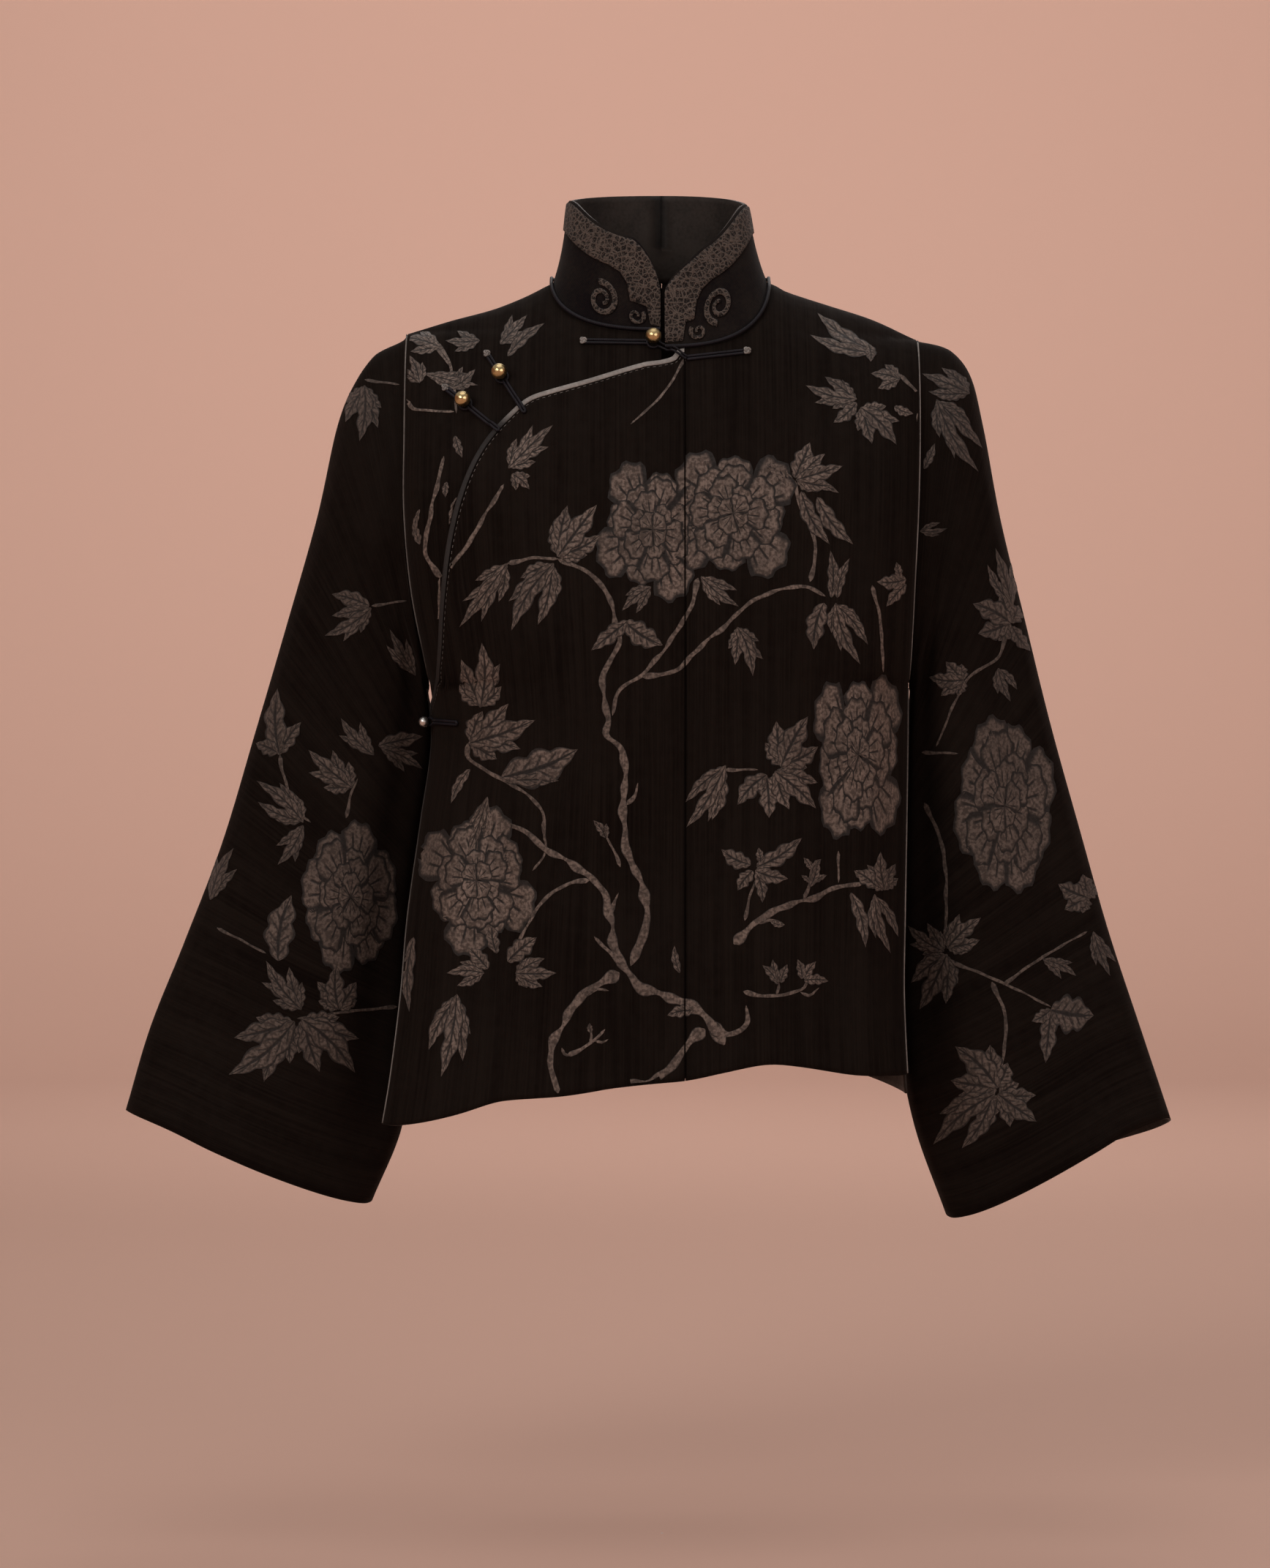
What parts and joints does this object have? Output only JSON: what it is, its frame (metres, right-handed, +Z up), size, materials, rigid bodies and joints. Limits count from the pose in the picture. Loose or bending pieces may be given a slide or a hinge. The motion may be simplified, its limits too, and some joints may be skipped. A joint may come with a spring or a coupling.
{
  "type": "chinese robe",
  "caption": "Hip-length Chinese robe in its worn form: standing collar, wide flaring sleeves and a front overlap fastened at the side, hollow and open below.",
  "frame": {"origin": "middle of the shoulders at the height where the collar meets the shoulder fold, where the robe hangs from what wears it", "axes": "+Z up, -Y the way the front faces, +X towards the wearer's left sleeve"},
  "size_m": [0.803, 0.2298, 0.7845],
  "materials": {
    "velvet": "dark cut velvet with a paler figured ground",
    "edge_silk": "pale silk binding, slightly worn",
    "border": "looped velvet border with curls",
    "satin": "dark satin",
    "brass": "polished, slightly dulled",
    "silver": "polished pale metal"
  },
  "bodies": {
    "root": {"body_left": "velvet", "body_right": "velvet", "front_overlap": "velvet", "sleeve_left": "velvet", "sleeve_right": "velvet", "collar": "velvet", "overlap_binding": "edge_silk", "collar_border": "border", "collar_curl_right_small": "border", "collar_curl_right_large": "border", "collar_curl_left_small": "border", "collar_curl_left_large": "border", "collar_piping": "satin", "strap_knot_neck": "satin", "strap_loop_neck": "satin", "strap_knot_chest_upper": "satin", "strap_loop_chest_upper": "satin", "strap_knot_chest_lower": "satin", "strap_loop_chest_lower": "satin", "strap_loop_side": "satin", "button_neck": "brass", "button_chest_upper": "brass", "button_chest_lower": "brass", "button_side": "silver"}
  },
  "joints": []
}
